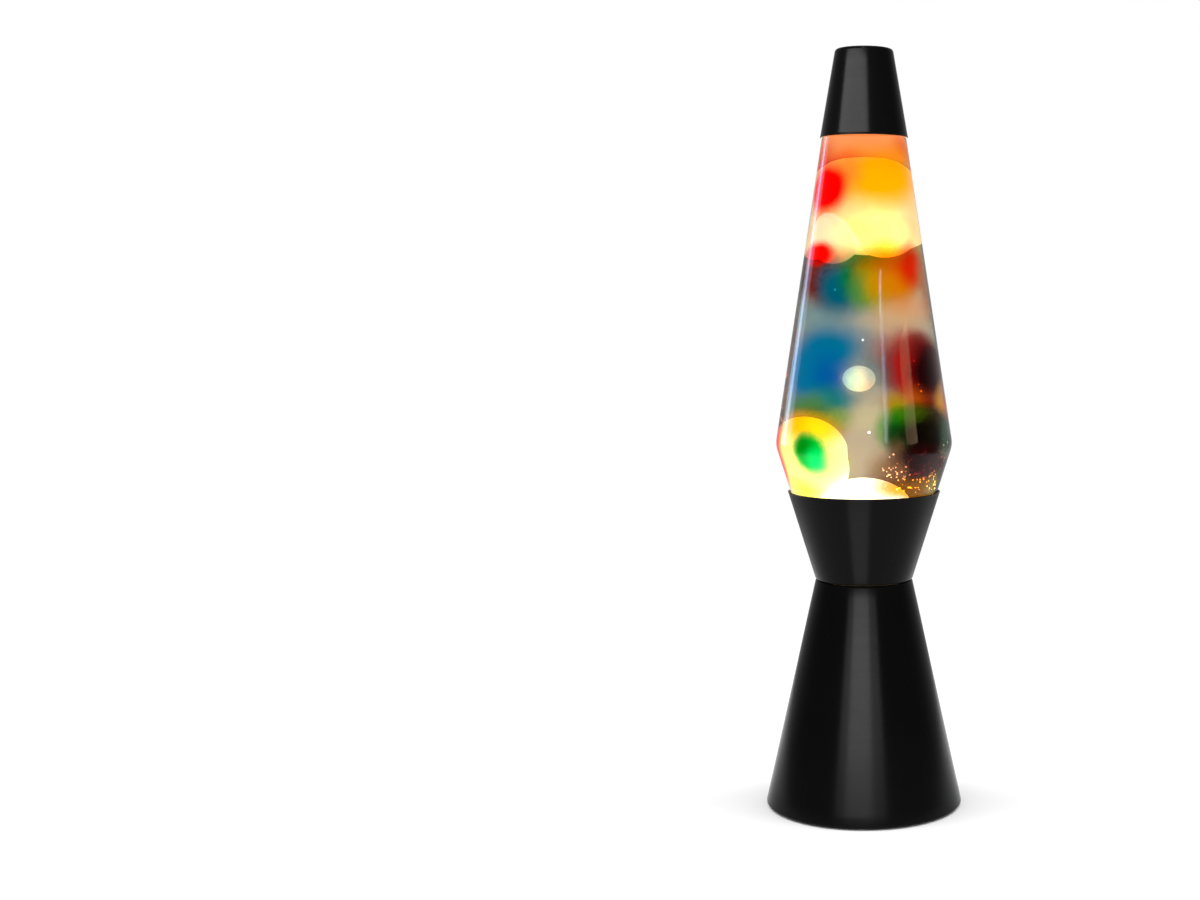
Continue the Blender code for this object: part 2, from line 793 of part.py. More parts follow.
def build_top_cap():
    turned(
        "top_cap",
        rounded(
            [
                (0.0, LAMP_HEIGHT),
                (CAP_TOP_RADIUS, LAMP_HEIGHT, 2.8 * MM),
                (CAP_RIM_RADIUS, CAP_RIM_Z + 1.0 * MM),
                (CAP_RIM_RADIUS + RIM_FLARE, CAP_RIM_Z),
            ]
        ),
        "black_paint",
        LARGE,
        wall=CAP_SHEET,
    )


# ---------------------------------------------------------------- wax


def build_wax():
    """The five masses of wax. The lower left of the top mass makes way for the front lobe."""
    sides = [(bottle_radius(z * MM) - WAX_SIDE_GAP, z * MM) for z in (333.0, 318.0, 304.0)]
    top = turned(
        "wax_top_mass",
        rounded(
            [
                (0.0, 343.6 * MM),
                (10.0 * MM, 342.6 * MM),
                (18.5 * MM, 338.8 * MM),
                *sides,
                (24.5 * MM, 296.5 * MM),
                (15.0 * MM, 291.2 * MM),
                (0.0, 289.5 * MM),
            ]
        ),
        "wax",
        MEDIUM,
    )
    radius = FRONT_LOBE_RADII.x + 2 * GAP
    dome = FRONT_LOBE_RADII.z + 2 * GAP
    centre_z = FRONT_LOBE_CENTRE.z
    path = [Vector((radius * p.x, centre_z + dome * p.y)) for p in arc((0.0, 0.0), 1.0, 90, 0, 5)]
    path[0].x = 0.0
    path += [Vector((radius, LOBE_WELL_END_Z)), Vector((0.0, LOBE_WELL_END_Z))]
    well = turned("front_lobe_well", path, "wax", MEDIUM)
    well.location = (FRONT_LOBE_CENTRE.x, FRONT_LOBE_CENTRE.y, 0.0)
    cut(top, as_cutter(well))

    ball("wax_front_lobe", FRONT_LOBE_CENTRE, FRONT_LOBE_RADII, "wax", MEDIUM)
    ball("wax_small_blob", SMALL_BLOB_CENTRE, Vector((SMALL_BLOB_RADIUS,) * 3), "wax", 16)
    ball("wax_side_blob", SIDE_BLOB_CENTRE, SIDE_BLOB_RADII, "wax", MEDIUM)

    floor = BOTTLE_BOTTOM_Z + GLASS_WALL + 0.8 * MM + 2 * GAP
    outline = arc((0.0, MOUND_TOP_Z - MOUND_RADIUS), MOUND_RADIUS, 90, 0, 6)
    outline[0].x = 0.0
    outline += [Vector((18.2 * MM, floor + 1.5 * MM)), Vector((16.5 * MM, floor)), Vector((0.0, floor))]
    mound = turned("wax_mound", outline, "hot_wax", MEDIUM)
    mound.location = (0.0, MOUND_Y, 0.0)


def main():
    clear_scene()
    new_collection("lava_lamp")
    new_collection("cutters")
    build_base_cone()
    build_base_cup()
    build_strap()
    build_flange_screws()
    build_bottom_cover()
    build_feet()
    build_grommet()
    build_lampholder()
    build_bulb()
    build_bottle()
    build_top_cap()
    build_wax()


main()
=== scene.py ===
import math
import random

import bmesh
import bpy
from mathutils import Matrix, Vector


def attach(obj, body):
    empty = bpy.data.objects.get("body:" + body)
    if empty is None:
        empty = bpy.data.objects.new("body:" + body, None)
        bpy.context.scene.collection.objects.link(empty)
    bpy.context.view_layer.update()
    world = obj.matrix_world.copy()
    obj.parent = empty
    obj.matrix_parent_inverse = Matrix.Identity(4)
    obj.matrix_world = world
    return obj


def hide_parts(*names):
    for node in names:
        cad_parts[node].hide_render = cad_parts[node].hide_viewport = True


MM = 0.001
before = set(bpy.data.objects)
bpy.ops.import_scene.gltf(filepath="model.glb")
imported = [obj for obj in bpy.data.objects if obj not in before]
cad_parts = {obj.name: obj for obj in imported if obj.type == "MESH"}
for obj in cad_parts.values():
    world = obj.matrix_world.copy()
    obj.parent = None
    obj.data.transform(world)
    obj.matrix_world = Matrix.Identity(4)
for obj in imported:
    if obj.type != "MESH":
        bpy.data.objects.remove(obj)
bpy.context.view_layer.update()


# ---------------------------------------------------------------- sizes, in millimetres
# Each line runs down the outside of a turned piece as (radius, height, fillet radius).
TURN_SEGMENTS = 144
ARC_STEPS = 8
SMOOTH_ANGLE = math.radians(38)

BOTTLE_WALL = 2.2
BOTTLE_LINE = [
    (12.3, 388.0, 0.5), (13.1, 387.2, 0.4), (13.1, 384.6, 0.4), (12.2, 383.6, 0.3), (12.2, 378.0, 3.0),
    (18.6, 368.5, 4.0), (22.0, 354.5, 3.0), (46.9, 193.0, 14.0), (30.7, 142.0, 4.0), (24.0, 142.0, 1.0),
    (0.0, 142.8, 0.0),
]
LIQUID_LEVEL = 358.0
LIQUID_OVERLAP = 0.25  # how far the liquid reaches into the glass, so that no air shows between them
MENISCUS = [(3.0, 0.0), (1.0, 0.2), (0.2, 0.6)]  # (distance in from the glass, rise) of the liquid's rim
WAX_GAP = 2.6  # from the outside of the glass
WAX_FLOOR = 145.6

CROWN_SHEET = 0.3
CROWN_FLUTES = 21
CROWN_FLUTE = 0.4
CROWN_FLUTE_START = 12.0  # the radius outside which the flutes show
CROWN_SKIRT = 3.6
CROWN_LINE = [
    (0.0, 389.8, 0.0), (13.4, 389.8, 1.0), (13.9, 387.4, 0.0), (14.15, 385.6, 0.0), (14.6, 383.8, 0.0),
]
BULB_WALL = 0.7
BULB_LINE = [
    (0.0, 132.0, 0.0), (9.0, 131.0, 6.0), (17.3, 127.4, 4.0), (19.5, 123.0, 2.5), (16.6, 110.0, 20.0),
    (6.7, 93.5, 8.0), (6.7, 87.6, 0.0),
]

CONE_SHEET = 0.8
CONE_LINE = [
    (20.6, 120.95, 0.0), (25.7, 120.95, 1.2), (52.35, 0.8, 1.0), (49.6, 0.8, 0.5), (49.6, 3.8, 0.8),
    (44.5, 3.8, 0.0),
]
CUP_SHEET = 0.8
CUP_LINE = [(40.4, 167.9, 0.0), (40.1, 167.1, 0.3), (25.7, 121.25, 1.4), (20.6, 121.25, 0.0)]
CAP_SHEET = 0.6
CAP_LINE = [(0.0, 400.0, 0.0), (15.1, 400.0, 2.0), (22.85, 355.2, 0.2), (23.15, 354.2, 0.0)]

# Each droplet is (height, angle from the front in degrees, radius).
DROPLETS = [
    (274.5, -28, 0.62), (249.0, -1, 0.60), (202.5, 3.5, 0.62), (191.6, 20, 0.45), (238.0, 43, 0.35),
    (226.0, 45, 0.40), (222.5, 47, 0.45), (211.0, 56, 0.40),
]
DROPLET_GAP = 1.2  # between a droplet and the glass
DROPLET_SEED = 11
SHOWER_COUNT = 120
SHOWER_HEIGHT = (170, 196, 172)  # lowest, highest and commonest
SHOWER_ANGLE = (12, 74)
SHOWER_SIZE = (0.16, 0.50)

# ---------------------------------------------------------------- stage
AMBIENT = 0.90  # how bright the surroundings are as a light, beside the white backdrop
BACKLIGHT = 1.06  # how much brighter the backdrop is through the glass
MIRRORED_FRONT, MIRRORED_BACK = 0.06, 0.45  # how bright the room is in reflections, in front and behind
MIRRORED_FROM, MIRRORED_TO = 0.0, 0.9  # how far round to the back (+Y) the change between them runs
FLOOR_RADIUS = 0.7
FLOOR_FADE = (0.30, 0.62)  # where the floor fades out, so that its edge doesn't show

WHITE = (255, 255, 255)
BLUE_WHITE = (206, 222, 255)
SKY = (160, 200, 250)
WARM = (255, 214, 170)
# Each panel light is its name, azimuth in degrees, distance and height in metres, width and height of
# the panel in metres, power in watts, colour, the one piece it lights, and the height it points at,
# which is its own height where None stands.
PANELS = [
    ("cone_key", -6, 1.5, 0.40, 0.86, 0.34, 8.6, WHITE, "cone_shell", None),
    ("cone_fill", -4, 1.5, 0.40, 1.73, 0.34, 11.0, WHITE, "cone_shell", None),
    ("cup_key", -8, 0.131, 0.045, 0.075, 0.09, 0.064, WHITE, "cup_shell", None),
    ("cap_key", -30, 1.0, 0.88, 1.75, 0.34, 31, WHITE, "cap_shell", None),
    ("cap_spark", -8, 0.25, 1.0, 0.12, 0.08, 1.5, WHITE, "cap_shell", 0.4),
    ("floor_left", -90, 0.8, 1.3, 0.8, 0.8, 6.6, WHITE, "floor", 0.0),
    ("floor_right", 90, 0.8, 1.3, 0.8, 0.8, 6.6, WHITE, "floor", 0.0),
    ("left_strip", -126, 0.9, 0.40, 0.12, 0.60, 1.0, BLUE_WHITE, "bottle_shell", None),
    ("left_glow", -124, 0.95, 0.38, 0.44, 0.50, 1.8, SKY, "bottle_shell", None),
    ("thin_strip", 29, 1.5, 0.62, 0.14, 0.26, 6.4, BLUE_WHITE, "bottle_shell", None),
    ("wide_strip", 65, 1.5, 0.50, 0.46, 0.20, 3.6, WARM, "bottle_shell", None),
]

CAMERA_PLACE = (0.0, -0.917, 0.275)
CAMERA_DOWN = math.radians(4.03)
CAMERA_LENS = 52.04
CAMERA_SHIFT = (-0.22, -0.0323)


# ---------------------------------------------------------------- mesh helpers
def rounded(line, steps=ARC_STEPS):
    """The line of (r, z, fillet radius) points with its corners turned into arcs."""
    points = []
    for i, (r, z, fillet) in enumerate(line):
        here = Vector((r, z))
        if fillet <= 0 or i in (0, len(line) - 1):
            points.append(here)
            continue
        back = Vector(line[i - 1][:2]) - here
        ahead = Vector(line[i + 1][:2]) - here
        half = back.angle(ahead) / 2
        reach = min(fillet / math.tan(half), 0.48 * back.length, 0.48 * ahead.length)
        radius = reach * math.tan(half)
        middle = here + (back.normalized() + ahead.normalized()).normalized() * radius / math.sin(half)
        start = here + back.normalized() * reach - middle
        sweep = start.angle_signed(here + ahead.normalized() * reach - middle)
        for k in range(steps + 1):
            angle = -sweep * k / steps
            turned_start = Vector((
                start.x * math.cos(angle) - start.y * math.sin(angle),
                start.x * math.sin(angle) + start.y * math.cos(angle),
            ))
            points.append(middle + turned_start)
    return points


def offset(points, distance):
    """The open line moved sideways by distance, to its right as it runs."""
    moved = []
    for i, point in enumerate(points):
        before = (point - points[i - 1]).normalized() if i else None
        after = (points[i + 1] - point).normalized() if i < len(points) - 1 else None
        before = before or after
        after = after or before
        along = (before + after).normalized()
        side = Vector((along.y, -along.x))
        stretch = 1 / max(0.5, side.dot(Vector((after.y, -after.x))))
        moved.append(point + side * distance * stretch)
    return moved


def densify(points, step):
    """Extra points on the long stretches of a line, so that it carries fine shading."""
    dense = [points[0]]
    for start, end in zip(points, points[1:]):
        pieces = max(1, math.ceil((end - start).length / step))
        dense.extend(start.lerp(end, k / pieces) for k in range(1, pieces + 1))
    return dense


def new_object(name, mesh, angle=SMOOTH_ANGLE):
    """An object of this mesh in the scene, shaded smooth but for its sharp corners."""
    obj = bpy.data.objects.new(name, mesh)
    bpy.context.scene.collection.objects.link(obj)
    mesh.shade_smooth()
    mesh.set_sharp_from_angle(angle=angle)
    return obj


def revolved(name, loop, segments=TURN_SEGMENTS, closed=True):
    """The line of (r, z) in millimetres turned about Z. Points on the axis become one vertex."""
    bm = bmesh.new()
    rings = []
    for r, z in loop:
        if r < 1e-6:
            rings.append([bm.verts.new((0, 0, z * MM))])
            continue
        rings.append([
            bm.verts.new((
                r * MM * math.cos(math.tau * k / segments),
                r * MM * math.sin(math.tau * k / segments),
                z * MM,
            ))
            for k in range(segments)
        ])
    pairs = list(zip(rings, rings[1:]))
    if closed:
        pairs.append((rings[-1], rings[0]))
    for one, two in pairs:
        if len(one) == 1 and len(two) == 1:
            continue
        for k in range(segments):
            j = (k + 1) % segments
            if len(one) == 1:
                bm.faces.new((one[0], two[j], two[k]))
            elif len(two) == 1:
                bm.faces.new((one[k], one[j], two[0]))
            else:
                bm.faces.new((one[k], one[j], two[j], two[k]))
    bmesh.ops.recalc_face_normals(bm, faces=bm.faces)
    mesh = bpy.data.meshes.new(name)
    bm.to_mesh(mesh)
    bm.free()
    return new_object(name, mesh)


def sheet_shell(name, line, sheet, step=6.0):
    """A turned shell: the outer line, and the same line moved in by the sheet's thickness."""
    outer = densify(rounded(line), step)
    inner = [Vector((max(0.0, point.x), point.y)) for point in offset(outer, sheet)]
    return revolved(name, outer + inner[::-1])


def blobs(name, balls, voxel, smooth, trim=None, core=None):
    """One smooth body from overlapping balls of (centre, radii), in millimetres, as wax flows together.
    A core adds a turned outline to the balls. Trim is called on each vertex at the end."""
    bm = bmesh.new()
    if core:
        middle = revolved(f"{name}_core", core, 96, closed=False)
        bm.from_mesh(middle.data)
        bpy.data.objects.remove(middle)
    for centre, radii in balls:
        made = bmesh.ops.create_icosphere(bm, subdivisions=4, radius=1.0)["verts"]
        for vert in made:
            vert.co = Vector([(c + r * v) * MM for c, r, v in zip(centre, radii, vert.co)])
    mesh = bpy.data.meshes.new(name)
    bm.to_mesh(mesh)
    bm.free()
    obj = new_object(name, mesh, math.pi)
    remesh = obj.modifiers.new("melt", "REMESH")
    remesh.mode = "VOXEL"
    remesh.voxel_size = voxel * MM
    soften = obj.modifiers.new("soften", "SMOOTH")
    soften.factor = 0.5
    soften.iterations = smooth
    bake(obj)
    if trim:
        for vert in obj.data.vertices:
            trim(vert)
    obj.data.shade_smooth()
    return obj


def bake(obj):
    """Applies the object's modifiers."""
    graph = bpy.context.evaluated_depsgraph_get()
    mesh = bpy.data.meshes.new_from_object(obj.evaluated_get(graph))
    old = obj.data
    obj.modifiers.clear()
    obj.data = mesh
    mesh.name = old.name
    bpy.data.meshes.remove(old)


# ---------------------------------------------------------------- material helpers
def tone(red, green, blue):
    """A colour given in display values of 0 to 255, as the linear colour shaders use."""
    linear = []
    for value in (red, green, blue):
        v = value / 255
        linear.append(v / 12.92 if v <= 0.04045 else ((v + 0.055) / 1.055) ** 2.4)
    return (*linear, 1.0)


class Shader:
    """A new material's node tree, with short calls that add a node and return its output."""

    def __init__(self, name, **plain):
        self.material = bpy.data.materials.new(name)
        self.material.use_nodes = True
        self.tree = self.material.node_tree
        self.surface = self.tree.nodes["Principled BSDF"]
        for socket, value in plain.items():
            self.surface.inputs[socket.replace("_", " ")].default_value = value
        self.place = self.node("ShaderNodeTexCoord").outputs["Object"]

    def node(self, kind, **settings):
        made = self.tree.nodes.new(kind)
        for key, value in settings.items():
            setattr(made, key, value)
        return made

    def feed(self, socket, value):
        """Links value into the socket if it is another node's output, else sets it."""
        if isinstance(value, bpy.types.NodeSocket):
            self.tree.links.new(value, socket)
        else:
            socket.default_value = value

    def math(self, operation, *values):
        made = self.node("ShaderNodeMath", operation=operation)
        for socket, value in zip(made.inputs, values):
            self.feed(socket, value)
        return made.outputs[0]

    def vector(self, operation, *values):
        made = self.node("ShaderNodeVectorMath", operation=operation)
        for socket, value in zip(made.inputs, values):
            self.feed(socket, value)
        return made.outputs["Value" if operation == "LENGTH" else "Vector"]

    def noise(self, scale, detail, stretch=(1, 1, 1), colour=False):
        made = self.node("ShaderNodeTexNoise")
        self.feed(made.inputs["Vector"], self.vector("MULTIPLY", self.place, stretch))
        made.inputs["Scale"].default_value = scale
        made.inputs["Detail"].default_value = detail
        return made.outputs["Color" if colour else "Fac"]

    def ramp(self, value, low, high, out_low=0.0, out_high=1.0, kind="SMOOTHSTEP"):
        made = self.node("ShaderNodeMapRange", interpolation_type=kind)
        for socket, entry in zip(made.inputs, (value, low, high, out_low, out_high)):
            self.feed(socket, entry)
        return made.outputs[0]

    def mix(self, factor, first, second):
        made = self.node("ShaderNodeMix", data_type="RGBA")
        self.feed(made.inputs[0], factor)
        self.feed(made.inputs[6], first)
        self.feed(made.inputs[7], second)
        return made.outputs[2]

    def spot(self, place, centre, size, soft, strength=1.0):
        """A soft round spot at centre, whose strength is halved at size (both in millimetres)."""
        made = self.node("ShaderNodeMapping", vector_type="TEXTURE")
        self.feed(made.inputs["Vector"], place)
        made.inputs["Location"].default_value = Vector(centre) * MM
        made.inputs["Scale"].default_value = Vector(size) * (MM / (1 - soft / 2))
        ball = self.node("ShaderNodeTexGradient", gradient_type="SPHERICAL")
        self.feed(ball.inputs["Vector"], made.outputs[0])
        return self.ramp(ball.outputs["Fac"], 0.0, soft, 0.0, strength)

    def height(self):
        made = self.node("ShaderNodeSeparateXYZ")
        self.feed(made.inputs[0], self.place)
        return made.outputs[2]

    def upward(self):
        """How far the surface faces up, from -1 to 1."""
        made = self.node("ShaderNodeSeparateXYZ")
        self.feed(made.inputs[0], self.node("ShaderNodeNewGeometry").outputs["Normal"])
        return made.outputs[2]

    def bump(self, value, strength, distance):
        made = self.node("ShaderNodeBump")
        made.inputs["Strength"].default_value = strength
        made.inputs["Distance"].default_value = distance * MM
        self.feed(made.inputs["Height"], value)
        self.feed(self.surface.inputs["Normal"], made.outputs[0])

    def set(self, socket, value):
        self.feed(self.surface.inputs[socket], value)


def dress(obj, material):
    """Gives the whole object this one material."""
    obj.data.materials.clear()
    obj.data.materials.append(material)


def cover(piece, material, body, slot, *nodes):
    """Dresses a piece, lets it ride on its body and hides the CAD nodes it stands for."""
    dress(piece, material)
    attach(piece, body)
    if nodes:
        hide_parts(*nodes)
    return piece


# ---------------------------------------------------------------- materials
def satin_paint():
    """Black satin lacquer over spun metal: faint turning lines and a fine orange peel."""
    paint = Shader("black_satin", Specular_IOR_Level=0.06)
    cloud = paint.noise(14, 3)
    paint.set("Base Color", paint.mix(cloud, tone(5, 5, 5), tone(9, 9, 9)))
    lines = paint.noise(900, 2, (0.02, 0.02, 1))
    satin = paint.ramp(cloud, 0.3, 0.7, 0.17, 0.21)
    paint.set("Roughness", paint.math("ADD", satin, paint.ramp(lines, 0.3, 0.7, 0, 0.03)))
    peel = paint.noise(1500, 2)
    paint.bump(paint.math("ADD", peel, paint.math("MULTIPLY", lines, 0.4)), 0.10, 0.06)
    return paint.material


# Soft sprayed patches on the bottle. Each row is the height of the patch's centre in
# millimetres, the centre's angle from the front in degrees (towards +X), the half width and half height
# where the patch is half as strong, its colour, its strength and its softness.
PATCHES = [
    # top band and the dome of wax
    (350.0, 0, 60, 10.0, (255, 186, 124), 1.00, 0.35),
    (349.0, 180, 24, 10.0, (255, 214, 196), 1.00, 0.50),
    (344.0, -64, 9, 7.0, (232, 110, 76), 0.60, 0.80),
    (345.0, 64, 9, 8.0, (236, 106, 40), 0.80, 0.80),
    (332.0, 22, 30, 15.0, (255, 172, 0), 1.00, 0.70),
    (334.0, -24, 8.0, 9.0, (255, 138, 60), 0.90, 0.90),
    (327.0, -52, 13, 12.5, (255, 0, 0), 1.00, 0.50),
    (302.0, 14, 18, 13.0, (255, 250, 166), 0.85, 0.90),
    (292.0, 20, 9.5, 6.0, (255, 232, 50), 1.00, 0.90),
    (306.0, 66, 6.5, 18.0, (255, 196, 160), 0.60, 0.90),
    # under the wax
    (264.0, 32, 18, 9.0, (255, 206, 158), 0.85, 0.90),
    (260.0, -36, 20, 9.0, (150, 188, 202), 0.85, 0.90),
    (283.0, 0, 42, 10.0, (190, 140, 20), 1.00, 0.80),
    (281.0, -50, 15, 12.5, (152, 48, 22), 1.00, 0.70),
    (279.0, -36, 8.0, 10.0, (84, 66, 96), 0.95, 0.90),
    (275.0, -20, 13.5, 13.5, (0, 118, 156), 1.00, 0.75),
    (282.0, -8, 7.0, 10.0, (14, 144, 76), 1.00, 0.85),
    (284.5, 2, 5.5, 8.0, (182, 160, 2), 1.00, 0.85),
    (273.0, 3, 7.5, 8.5, (104, 172, 70), 1.00, 0.85),
    (278.0, 13, 6.5, 12.0, (214, 184, 2), 1.00, 0.85),
    (280.0, 30, 11, 12.5, (255, 152, 2), 1.00, 0.85),
    (288.5, 24, 12, 4.5, (255, 116, 6), 0.90, 0.90),
    (286.5, 50, 11, 10.5, (255, 48, 2), 1.00, 0.75),
    (293.0, -52, 11, 6.0, (255, 4, 0), 1.00, 0.45),
    (277.0, 70, 6.5, 15.0, (202, 136, 98), 0.85, 0.90),
    # the blue side
    (245.0, -28, 21, 11.0, (0, 138, 198), 1.00, 0.75),
    (232.0, -44, 20, 16.5, (0, 138, 208), 1.00, 0.70),
    (231.0, -26, 9.0, 11.0, (0, 112, 214), 0.95, 0.85),
    (219.0, -24, 12, 6.5, (0, 148, 172), 1.00, 0.90),
    (214.5, -44, 17, 6.0, (86, 160, 96), 0.95, 0.90),
    (209.5, -32, 14, 5.0, (92, 140, 20), 0.95, 0.90),
    (210.0, -18, 7.0, 4.5, (156, 198, 90), 0.80, 0.90),
    # pale middle
    (209.0, 2, 10, 7.0, (246, 238, 196), 0.70, 0.90),
    (188.0, -4, 12, 14.0, (244, 226, 200), 0.90, 0.90),
    (238.0, 9, 7.5, 11.0, (112, 156, 172), 0.95, 0.90),
    (228.5, -7, 5.0, 5.0, (240, 240, 216), 0.80, 0.90),
    # the dark side
    (243.0, 32, 15, 10.0, (214, 120, 104), 0.90, 0.90),
    (234.0, 52, 22, 15.0, (66, 14, 20), 1.00, 0.45),
    (234.0, 21, 6.0, 13.0, (132, 78, 88), 0.95, 0.85),
    (235.0, 34, 8.5, 16.0, (202, 28, 24), 1.00, 0.80),
    (247.0, 46, 10, 5.0, (160, 36, 38), 0.85, 0.90),
    (233.0, 51, 10, 13.0, (40, 4, 8), 1.00, 0.80),
    (217.0, 46, 17, 6.0, (142, 44, 4), 1.00, 0.80),
    (219.0, 34, 8.0, 7.0, (204, 92, 10), 1.00, 0.90),
    (216.5, 22, 7.0, 6.0, (204, 166, 30), 1.00, 0.85),
    (216.0, 70, 7.0, 8.0, (230, 174, 27), 1.00, 0.80),
    (207.0, 46, 22, 9.0, (52, 48, 8), 1.00, 0.55),
    (209.0, 27, 7.0, 7.0, (40, 174, 4), 1.00, 0.80),
    (210.0, 36, 8.0, 6.0, (72, 106, 10), 0.95, 0.90),
    (204.0, 13, 4.0, 8.0, (126, 192, 100), 0.85, 0.90),
    (201.5, 23, 6.5, 8.5, (0, 92, 28), 1.00, 0.75),
    (199.0, 45, 18, 10.5, (20, 15, 6), 1.00, 0.55),
    (200.0, 74, 10, 12.0, (48, 90, 70), 1.00, 0.60),
    (196.0, 24, 6.0, 6.0, (52, 70, 36), 0.95, 0.90),
    # below the waist
    (180.0, 48, 28, 12.0, (66, 14, 14), 1.00, 0.45),
    (184.0, 22, 7.0, 11.0, (164, 116, 84), 0.95, 0.80),
    (190.0, 42, 16, 6.0, (44, 8, 10), 1.00, 0.70),
    (183.0, 10, 6.0, 9.0, (204, 164, 124), 0.60, 0.90),
    (173.5, 40, 20, 5.0, (164, 104, 16), 1.00, 0.80),
    (173.0, 66, 9.0, 6.0, (184, 158, 66), 1.00, 0.85),
    (184.0, 82, 5.0, 9.0, (90, 70, 64), 0.90, 0.80),
    # over the low blob
    (188.0, -46, 28, 21.0, (255, 252, 160), 0.80, 0.35),
    (205.0, -44, 20, 7.0, (255, 184, 0), 1.00, 0.70),
    (203.0, -32, 9.0, 7.0, (236, 206, 20), 0.90, 0.90),
    (191.5, -38, 10.5, 9.0, (0, 176, 60), 1.00, 0.50),
    (195.0, -43, 6.5, 5.0, (0, 116, 14), 0.95, 0.85),
    (187.0, -32, 6.5, 5.5, (0, 214, 130), 0.95, 0.85),
    (190.0, -60, 4.0, 18.0, (255, 214, 160), 0.60, 0.90),
    (188.0, -84, 10, 22.0, (250, 50, 50), 1.00, 0.60),
    (171.0, -52, 13, 5.0, (255, 238, 66), 0.90, 0.90),
    # a dark rim up the left side
    (282.0, -76, 4.5, 14.0, (92, 40, 30), 0.95, 0.80),
    (250.0, -77, 4.5, 18.0, (140, 88, 84), 0.90, 0.80),
    (218.0, -77, 4.5, 16.0, (150, 84, 66), 0.95, 0.80),
    # the foot, inside the cup: painted warm light from the lit wax mound below
    (148.0, 0, 70, 12.0, (255, 196, 110), 0.95, 0.60),
    # round the back
    (262.0, 118, 17, 20.0, (250, 120, 20), 1.00, 0.80),
    (218.0, 115, 19, 18.0, (200, 20, 60), 1.00, 0.80),
    (300.0, 132, 14, 18.0, (255, 210, 40), 1.00, 0.80),
    (304.0, 186, 17, 15.0, (80, 176, 40), 0.95, 0.80),
    (330.0, 206, 14, 12.0, (240, 70, 60), 0.95, 0.80),
    (316.0, 240, 14, 18.0, (20, 130, 210), 1.00, 0.80),
    (262.0, 236, 18, 20.0, (20, 150, 180), 1.00, 0.80),
    (212.0, 242, 20, 18.0, (110, 70, 190), 1.00, 0.80),
    (184.0, 236, 20, 11.0, (255, 120, 60), 0.90, 0.80),
]
CLEAR_TINT = (214, 206, 190)
SHINE = (0.06, 0.06, 0.06, 1.0)  # dims what the glass and the liquid mirror
SPRAY_DRIFT = (0.008, 0.008, 0.010)  # how far a patch's edge wanders, in metres
SPRAY_GRAIN = (0.0026, 0.0026, 0.0026)  # how far it is scattered into fine dots
# painted glints: where and how the red and white specks low on the right are painted into the glass colour
PAINTED_GLINT_CENTRE = (22, -32, 176)
PAINTED_GLINT_SIZE = (20, 20, 13)
PAINTED_GLINT_CELLS = 260
PAINTED_GLINT_REDS, PAINTED_GLINT_WHITES = (255, 70, 40), (255, 232, 204)


def bottle_radius(z):
    """The outer radius of the bottle at height z, in millimetres."""
    line = [(r, h) for r, h, _ in BOTTLE_LINE]
    for (r1, z1), (r2, z2) in zip(line, line[1:]):
        if z2 <= z <= z1:
            return r1 + (r2 - r1) * (z1 - z) / max(1e-6, z1 - z2)
    return line[0][0]


def sprayed_glass():
    """Clear glass with a rainbow of soft transparent sprayed patches, and painted glints: red and white
    specks low on the right.
    """
    glass = Shader("sprayed_glass", Transmission_Weight=1.0, IOR=1.5, Roughness=0.0, Specular_Tint=SHINE)
    drift = glass.vector("SUBTRACT", glass.noise(38, 2, colour=True), (0.5, 0.5, 0.5))
    grain = glass.vector("SUBTRACT", glass.noise(1300, 1, colour=True), (0.5, 0.5, 0.5))
    place = glass.vector("ADD", glass.place, glass.vector("MULTIPLY", drift, SPRAY_DRIFT))
    place = glass.vector("ADD", place, glass.vector("MULTIPLY", grain, SPRAY_GRAIN))
    colour = tone(*CLEAR_TINT)
    for z, angle, wide, high, paint, strength, soft in PATCHES:
        r = bottle_radius(z)
        turn = math.radians(angle)
        centre = (r * math.sin(turn), -r * math.cos(turn), z)
        spot = glass.spot(place, centre, (wide, wide, high), soft, strength)
        colour = glass.mix(spot, colour, tone(*paint))
    # painted glints: red and white specks scattered over the sprayed colour
    cells = glass.node("ShaderNodeTexVoronoi")
    cells.inputs["Scale"].default_value = PAINTED_GLINT_CELLS
    glass.feed(cells.inputs["Vector"], glass.place)
    ragged = glass.math("MULTIPLY", glass.noise(500, 0), 0.25)
    point = glass.ramp(glass.math("ADD", cells.outputs["Distance"], ragged), 0.19, 0.29, 1.0, 0.0)
    area = glass.ramp(glass.noise(190, 1), 0.50, 0.58)
    zone = glass.spot(glass.place, PAINTED_GLINT_CENTRE, PAINTED_GLINT_SIZE, 0.7)
    spark = glass.math("MULTIPLY", glass.math("MULTIPLY", point, area), zone)
    turn = glass.ramp(glass.noise(230, 0), 0.42, 0.56)
    hue = glass.mix(turn, tone(*PAINTED_GLINT_REDS), tone(*PAINTED_GLINT_WHITES))
    glass.set("Base Color", glass.mix(spark, colour, hue))
    return glass.material


def clear_liquid():
    """The clear liquid that fills the bottle."""
    liquid = Shader("clear_liquid", Transmission_Weight=1.0, IOR=1.36, Roughness=0.0, Specular_Tint=SHINE)
    haze = liquid.noise(30, 2)
    liquid.set("Base Color", liquid.mix(haze, tone(252, 251, 249), tone(248, 247, 244)))
    return liquid.material


